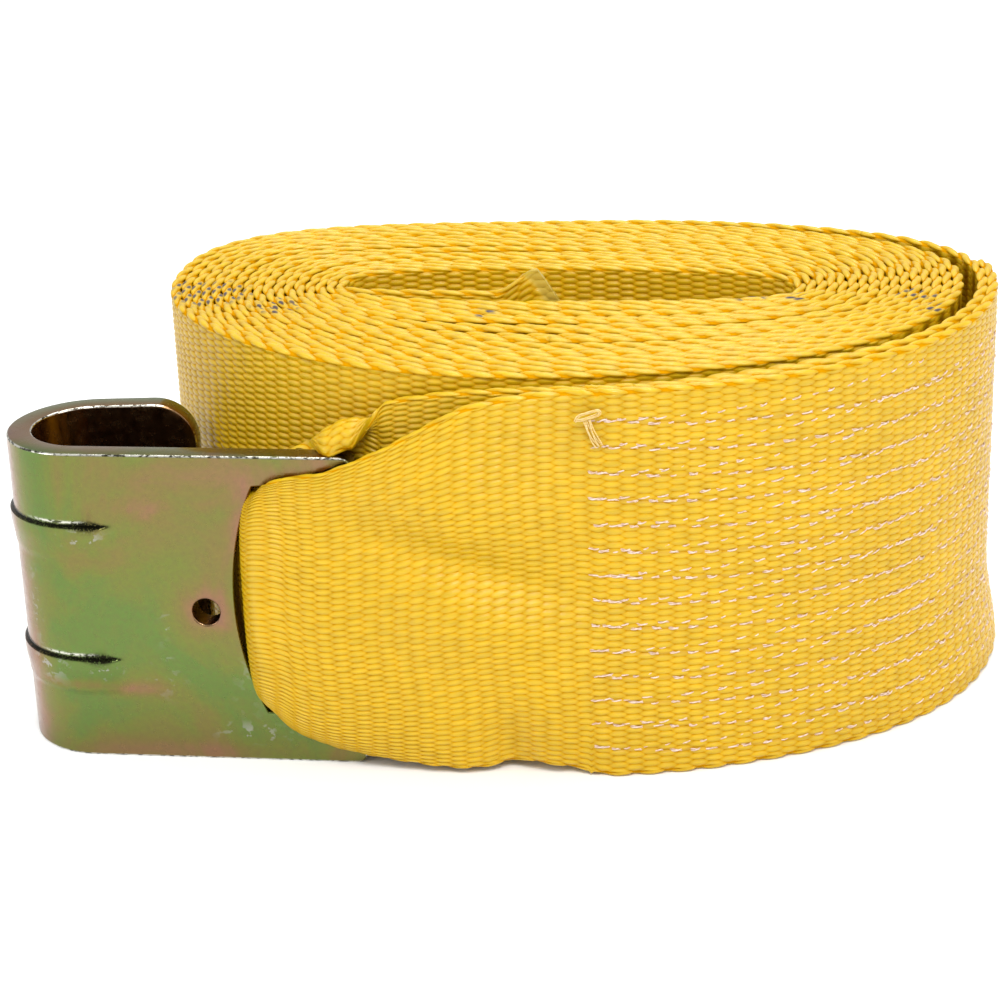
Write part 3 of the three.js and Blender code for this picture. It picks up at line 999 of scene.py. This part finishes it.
def build_stitches():
    """Each stitch is two twisted strands that dive into the webbing at both ends."""
    rings, sides = 7, 5
    profile = np.array([0.4, 0.85, 1.0, 1.0, 1.0, 0.85, 0.4])
    arch = np.array([-0.42, -0.10, 0.04, 0.08, 0.04, -0.10, -0.42])
    run = np.linspace(-0.5, 0.5, rings)
    angles = 2 * np.pi * np.arange(sides) / sides
    quads = np.array(grid_faces(rings, sides))
    vertices, faces = [], []
    for s, w, tilt, long, sunk in stitch_rows():
        steps = run * long
        centre, out = lap_surface(s + steps, w + tilt * steps)
        lifted = centre + out * (arch + sunk + STITCH_LIFT)[:, None]
        for strand in (0, math.pi):
            twist = strand + STRAND_TWIST * run
            middle = lifted + out * (STRAND_APART * np.cos(twist))[:, None]
            middle[:, 2] += STRAND_APART * np.sin(twist)
            radius = STRAND_RADIUS * profile
            ring = middle[:, None, :] + out[:, None, :] * (
                np.cos(angles)[None, :] * radius[:, None])[:, :, None]
            ring[:, :, 2] += np.sin(angles)[None, :] * radius[:, None]
            first = len(vertices)
            vertices.extend(ring.reshape(-1, 3).tolist())
            faces.extend((quads + first).tolist())
            faces.append([first + j for j in range(sides)][::-1])
            faces.append([first + (rings - 1) * sides + j for j in range(sides)])
    sewing = mesh_object("sewing", np.array(vertices), faces)
    sewing.data.materials.append(thread)
    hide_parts("seam_stitching")
    return sewing


def tube(path, radius, sides=8):
    """Points and faces of a round tube along a path, with closed ends."""
    path = np.asarray(path, float)
    along = np.gradient(path, axis=0)
    along /= np.linalg.norm(along, axis=1)[:, None]
    sideways = np.cross(along, (0, 1, 0))
    sideways /= np.linalg.norm(sideways, axis=1)[:, None]
    other = np.cross(sideways, along)
    angles = 2 * np.pi * np.arange(sides) / sides
    taper = np.ones(len(path))
    taper[[0, -1]] = 0.45
    ring = sideways[:, None, :] * np.cos(angles)[None, :, None]
    ring = ring + other[:, None, :] * np.sin(angles)[None, :, None]
    points = path[:, None, :] + ring * radius * taper[:, None, None]
    faces = grid_faces(len(path), sides)
    faces.append(list(range(sides)))
    faces.append([(len(path) - 1) * sides + j for j in range(sides)][::-1])
    return points.reshape(-1, 3), faces


TAIL_CURL = [
    (18.0, 2.1, 94.6), (18.9, 2.0, 96.1), (20.8, 2.1, 96.8), (23.4, 2.5, 97.3),
    (23.6, 2.6, 96.4), (21.5, 2.2, 95.6), (19.4, 2.1, 95.0), (18.1, 2.2, 95.1),
]
TAIL_STRIP = [(20.9, 2.2, 95.0), (21.6, 2.5, 92.2), (22.5, 2.9, 89.9), (23.5, 3.3, 88.1)]
TAIL_STRAND = 0.16


def strands(route, count, spread, twists):
    """Several thin strands that run side by side along a route."""
    route = through(route, 9)
    run = np.linspace(0, 1, len(route))
    along = np.gradient(route, axis=0)
    beside = np.column_stack([-along[:, 2], 0 * run, along[:, 0]])
    beside /= np.linalg.norm(beside, axis=1)[:, None]
    made = []
    for number in range(count):
        place = number / (count - 1) - 0.5
        wave = spread * (place + 0.12 * np.sin(2 * np.pi * (twists * run + 0.3 * number)))
        path = route + beside * wave[:, None]
        path[:, 1] -= 0.22 * np.cos(2 * np.pi * (twists * run + 0.4 * number))
        made.append(tube(path, TAIL_STRAND))
    return made


def build_thread_tail():
    """The thread's loose end: a small loop over a strip of untwisted strands."""
    vertices, faces = [], []
    for points, quads in strands(TAIL_CURL, 3, 0.5, 1.0) + strands(TAIL_STRIP, 7, 1.7, 0.6):
        faces += [[len(vertices) + index for index in quad] for quad in quads]
        vertices += points.tolist()
    tail = mesh_object("thread_tail", np.array(vertices), faces)
    tail.data.materials.append(loose_thread)
    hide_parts("seam_thread_tail")
    return tail


# ---- The flat hook ----

BEVEL = 0.55
MIDDLE_RADIUS = BEND_RADIUS - PLATE / 2
FRONT_LENGTH = HOOK_END_X - BEND_X
BEND_ANGLE = math.pi - BACK_LEG_FLARE
BEND_LENGTH = MIDDLE_RADIUS * BEND_ANGLE
HOOK_LENGTH = FRONT_LENGTH + BEND_LENGTH + BACK_LEG_LENGTH
BEND_END_U = FRONT_LENGTH + BEND_LENGTH
RIB_START_U = HOOK_END_X - RIB_END_X
RIB_OUT = 0.95


def arc(centre_x, centre_y, radius, start, end, steps=10):
    """Points along an arc, from one angle in degrees to another."""
    turn = np.radians(np.linspace(start, end, steps))
    return [(centre_x + radius * math.cos(a), centre_y + radius * math.sin(a)) for a in turn]


def plate_outline():
    """The flat plate, along its length and across its width, with its corners rounded."""
    low, high = 0, HOOK_WIDTH
    front, back = CORNER_FRONT, CORNER_BACK
    return (
        arc(front, low + front, front, 180, 270)
        + arc(HOOK_LENGTH - back, low + back, back, 270, 360, 14)
        + arc(HOOK_LENGTH - back, high - back, back, 0, 90, 14)
        + arc(front, high - front, front, 90, 180)
    )


def slot_outline():
    """Straight against the bar and bowed towards the bend."""
    flat = 4
    near = HOOK_END_X - BAR_LEFT_X
    far = HOOK_END_X - SLOT_LEFT_X
    bow = far - near - flat
    half = (SLOT_HIGH_Z - SLOT_LOW_Z) / 2
    radius = (half * half + bow * bow) / (2 * bow)
    spread = math.degrees(math.asin(half / radius))
    middle = (SLOT_LOW_Z + SLOT_HIGH_Z) / 2
    bowed = arc(far - radius, middle, radius, -spread, spread, 28)
    return [(near, SLOT_HIGH_Z), (near, SLOT_LOW_Z)] + bowed


def flat_plate():
    """The plate before it is bent, in millimetres, with softened edges."""
    curve = bpy.data.curves.new("plate", "CURVE")
    curve.dimensions = "2D"
    curve.fill_mode = "BOTH"
    hole = arc(HOOK_END_X - HOLE_X, HOLE_Z, HOLE_RADIUS, 0, 348, 30)
    for outline in (plate_outline(), slot_outline(), hole):
        spline = curve.splines.new("POLY")
        spline.points.add(len(outline) - 1)
        for point, (u, v) in zip(spline.points, outline):
            point.co = (u, v, 0, 1)
        spline.use_cyclic_u = True
    curve.extrude = PLATE / 2 - BEVEL
    curve.bevel_depth = BEVEL
    curve.bevel_resolution = 2
    curve.offset = -BEVEL
    shape = add_object("plate", curve)
    graph = bpy.context.evaluated_depsgraph_get()
    mesh = bpy.data.meshes.new_from_object(shape.evaluated_get(graph))
    plate = bmesh.new()
    plate.from_mesh(mesh)
    bpy.data.objects.remove(shape)
    bpy.data.meshes.remove(mesh)
    bmesh.ops.remove_doubles(plate, verts=plate.verts, dist=0.003)
    return plate


def cut_planes():
    """Where the plate is divided, so that it can bend and take its ribs."""
    u = list(np.arange(4, RIB_START_U - 4, 4.0))
    u += list(np.arange(RIB_START_U - 4, RIB_START_U + 4, 0.6))
    u += list(np.arange(RIB_START_U + 4, BEND_END_U + 4, 1.3))
    u += list(np.arange(BEND_END_U + 5, HOOK_LENGTH - 1, 4.0))
    v = list(np.arange(3, HOOK_WIDTH - 2, 4.1))
    for level in RIB_LEVELS:
        top = level + RIB_HEIGHT
        v += list(np.arange(level - 1, top - 2, 0.9))
        v += list(np.arange(top - 1.6, top + 1.9, 0.2))
    return [((x, 0, 0), (1, 0, 0)) for x in u] + [((0, y, 0), (0, 1, 0)) for y in sorted(v)]


def rib_rise(u, v):
    """Height of the ribs pressed round the bend: a gentle lower side and a sharp top."""
    ends = smoothstep(u, RIB_START_U - 2.6, RIB_START_U + 0.6)
    ends = ends * smoothstep(-u, -(BEND_END_U + 1), -(BEND_END_U - 8))
    rise = 0
    for level in RIB_LEVELS:
        top = level + RIB_HEIGHT
        lip = smoothstep(v, level - 0.3, level + 0.5)
        gentle = 0.3 * lip + 0.7 * smoothstep(v, level, level + 7.5)
        sharp = smoothstep(-v, -(top + 0.1), -(top - 0.6))
        rise = rise + gentle * sharp
    return RIB_OUT * rise * ends


def rib_step_painted_light(u, v):
    """A painted dark reflection under each rib's step, with a painted highlight over it."""
    past = u - RIB_START_U
    dark, painted_highlight = 0, 0
    for level in RIB_LEVELS:
        top = level + RIB_HEIGHT
        tail = smoothstep(past, -1, 3) * smoothstep(-past, -9, -4)
        thick = 0.45 + 0.75 * tail
        run = smoothstep(past, -3.5, 0.5)
        dark = np.maximum(dark, np.exp(-((v - top + 0.1) / thick) ** 2) * run)
        run = smoothstep(past, 3, 6) * smoothstep(-past, -20, -13)
        painted_highlight = np.maximum(painted_highlight, 0.9 * np.exp(-((v - top - 0.8) / 0.32) ** 2) * run)
    return dark, painted_highlight


def bend_plate(u, v, t):
    """The bent place of each point of the flat plate; t is its depth towards the outside."""
    angle = np.clip((u - FRONT_LENGTH) / MIDDLE_RADIUS, 0, BEND_ANGLE)
    theta = -np.pi / 2 - angle
    centre_y = FRONT_FACE_Y + BEND_RADIUS
    radius = MIDDLE_RADIUS + t
    x = BEND_X + radius * np.cos(theta) + np.clip(FRONT_LENGTH - u, 0, None)
    y = centre_y + radius * np.sin(theta)
    beyond = np.clip(u - BEND_END_U, 0, None)
    x = x + beyond * math.cos(BACK_LEG_FLARE)
    y = y + beyond * math.sin(BACK_LEG_FLARE)
    return np.column_stack([x, y, v])


WORN_SPOTS = [
    # u and v on the plate, how far it spreads along and up, and how strong it is
    (29, 7, 7, 1.6, 0.8), (69, 60.5, 4, 1.6, 1.0), (66, 23.5, 3, 1.6, 0.9), (80, 25, 4, 4, 0.6),
    (93, 61, 8, 2, 0.6), (50, 34, 1.0, 9, 0.5), (51, 22, 3, 4, 0.35),
    (30, 18, 1.5, 8, 0.4), (83, 40, 1.2, 9, 0.5),
]
TINT_SPOTS = [
    # the same, for where the plating turns from green to pink
    (28, 76, 40, 10, 1.0), (26, 58, 9, 26, 0.95), (39, 41, 7, 7, 1.1), (92, 40, 9, 60, 1.3),
    (56, 68, 12, 7, 0.8), (40, 2, 40, 3, 0.5), (60, 19, 9, 2.0, 0.7), (74, 20, 14, 1.8, 0.8),
]


def spots(u, v, places):
    """The strongest of several soft spots at each place."""
    amount = np.zeros(len(u))
    for spot_u, spot_v, wide, tall, strength in places:
        amount = np.maximum(amount, strength * bump_at(u, v, spot_u, spot_v, wide, tall))
    return amount


def build_hook():
    """The plate, divided, bent round, ribbed and marked for its plating and for its painted
    highlights and dark reflections.
    """
    plate = flat_plate()
    for place, direction in cut_planes():
        every = plate.verts[:] + plate.edges[:] + plate.faces[:]
        bmesh.ops.bisect_plane(plate, geom=every, dist=0.004, plane_co=place, plane_no=direction)
    flat = np.array([v.co for v in plate.verts])
    u, v, t = flat[:, 0], flat[:, 1], -flat[:, 2]
    outside = np.clip(t / PLATE + 0.5, 0, 1)
    bent = bend_plate(u, v, t + rib_rise(u, v) * outside)
    for vertex, place in zip(plate.verts, to_world(bent)):
        vertex.co = place
    bmesh.ops.recalc_face_normals(plate, faces=plate.faces)
    for face in plate.faces:
        face.smooth = True
    mesh = bpy.data.meshes.new("hook")
    plate.to_mesh(mesh)
    plate.free()
    rim_gap = np.minimum(np.minimum(v, HOOK_WIDTH - v), np.minimum(u, HOOK_LENGTH - u))
    bevel = (rim_gap > 0.03) & (rim_gap < 0.9 * BEVEL) & (np.abs(t) < PLATE / 2 - 0.03)
    # The dark line under each rib's step is a painted dark reflection, and the glint over it a
    # painted highlight.
    rib_dark_reflection, glint = rib_step_painted_light(u, v)
    set_attributes(mesh, {
        "rib_dark_reflection": rib_dark_reflection * (outside > 0.9),
        "inner": (outside < 0.1) * smoothstep(u, FRONT_LENGTH - 30, FRONT_LENGTH - 8),
        "worn": spots(u, v, WORN_SPOTS) * (outside > 0.9),
        "tint": spots(u, v, TINT_SPOTS),
        # Bevelled edges: worn bare metal with painted highlight; the glint over each rib's step: a
        # painted highlight.
        "worn_edge_and_highlight": np.maximum(bevel & (np.abs(t) > PLATE / 2 - BEVEL), glint * (outside > 0.9)),
    })
    mesh.set_sharp_from_angle(angle=math.radians(38))
    hook = add_object("hook_plate", mesh)
    hook.data.materials.append(zinc)
    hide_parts("flat_hook")
    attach(hook, "hook")


# ---- Floor and light ----

FLOOR_REACH = 3.0
WORLD_STRENGTH = 0.70
LIGHT_TARGET = (0, 0, 0.05)
LIGHTS = [
    # name, place and size in metres, and power in watts
    ("key", (0.25, -0.85, 1.25), 0.55, 13.5),
    ("left", (-1.2, -0.7, 0.7), 0.7, 5),
    ("right", (1.2, -0.5, 0.7), 0.7, 4),
    ("top", (0.0, 0.5, 1.5), 0.9, 13),
]


def build_floor():
    mesh = bpy.data.meshes.new("floor")
    reach = FLOOR_REACH
    corners = [(-reach, -reach, 0), (reach, -reach, 0), (reach, reach, 0), (-reach, reach, 0)]
    mesh.from_pydata(corners, [], [(0, 1, 2, 3)])
    floor = add_object("floor", mesh)
    n = Nodes("floor")
    n.set("Base Color", (0.93, 0.93, 0.93, 1))
    n.set("Roughness", 0.9)
    n.set("Specular IOR Level", 0.2)
    mesh.materials.append(n.material)


def area_light(name, place, size, power):
    """A soft square light that faces the object."""
    data = bpy.data.lights.new(name, "AREA")
    data.size = size
    data.energy = power
    lamp = add_object(name, data)
    lamp.location = place
    aim = Vector(LIGHT_TARGET) - Vector(place)
    lamp.rotation_euler = aim.to_track_quat("-Z", "Y").to_euler()


def build_light():
    world = bpy.data.worlds.new("studio")
    bpy.context.scene.world = world
    world.use_nodes = True
    background = world.node_tree.nodes["Background"]
    background.inputs["Color"].default_value = (1, 1, 1, 1)
    background.inputs["Strength"].default_value = WORLD_STRENGTH
    for light in LIGHTS:
        area_light(*light)


# ---- Build ----

build_roll()
loop_piece, lap_piece = build_loop()
sewing_piece = build_stitches()
tail_piece = build_thread_tail()
build_hook()

for crossing in (loop_piece, lap_piece, sewing_piece, tail_piece):
    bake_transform(crossing)

build_floor()
build_light()
bpy.context.scene.view_settings.view_transform = "Standard"
